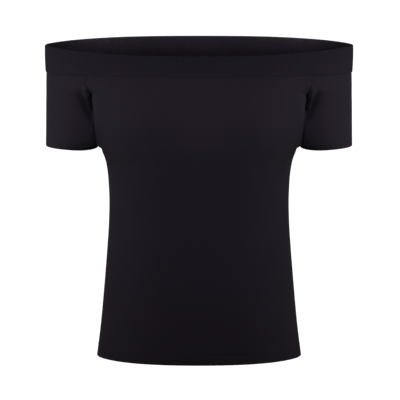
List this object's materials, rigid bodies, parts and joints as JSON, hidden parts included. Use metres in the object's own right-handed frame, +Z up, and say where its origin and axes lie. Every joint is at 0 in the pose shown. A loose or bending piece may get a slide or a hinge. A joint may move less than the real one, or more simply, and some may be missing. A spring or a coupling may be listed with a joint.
{
  "type": "off-shoulder top",
  "caption": "Fitted off-shoulder top with short sleeves and a wide folded rib neckband, hollow as if worn, open at neck, cuffs and hem.",
  "frame": {"origin": "middle of the neckband's ring, where the wearer's chest and upper arms hold the top up", "axes": "+Z up, +X to the right as seen from the front, and the front faces -Y"},
  "size_m": [0.4388, 0.2299, 0.4526],
  "materials": {
    "front": "matt black rib jersey",
    "back": "matt black rib jersey",
    "sleeve_right": "matt black rib jersey",
    "sleeve_left": "matt black rib jersey",
    "neckband": "matt black rib jersey, doubled"
  },
  "bodies": {
    "root": {"front": "front", "back": "back", "sleeve_right": "sleeve_right", "sleeve_left": "sleeve_left", "neckband": "neckband"}
  },
  "joints": []
}
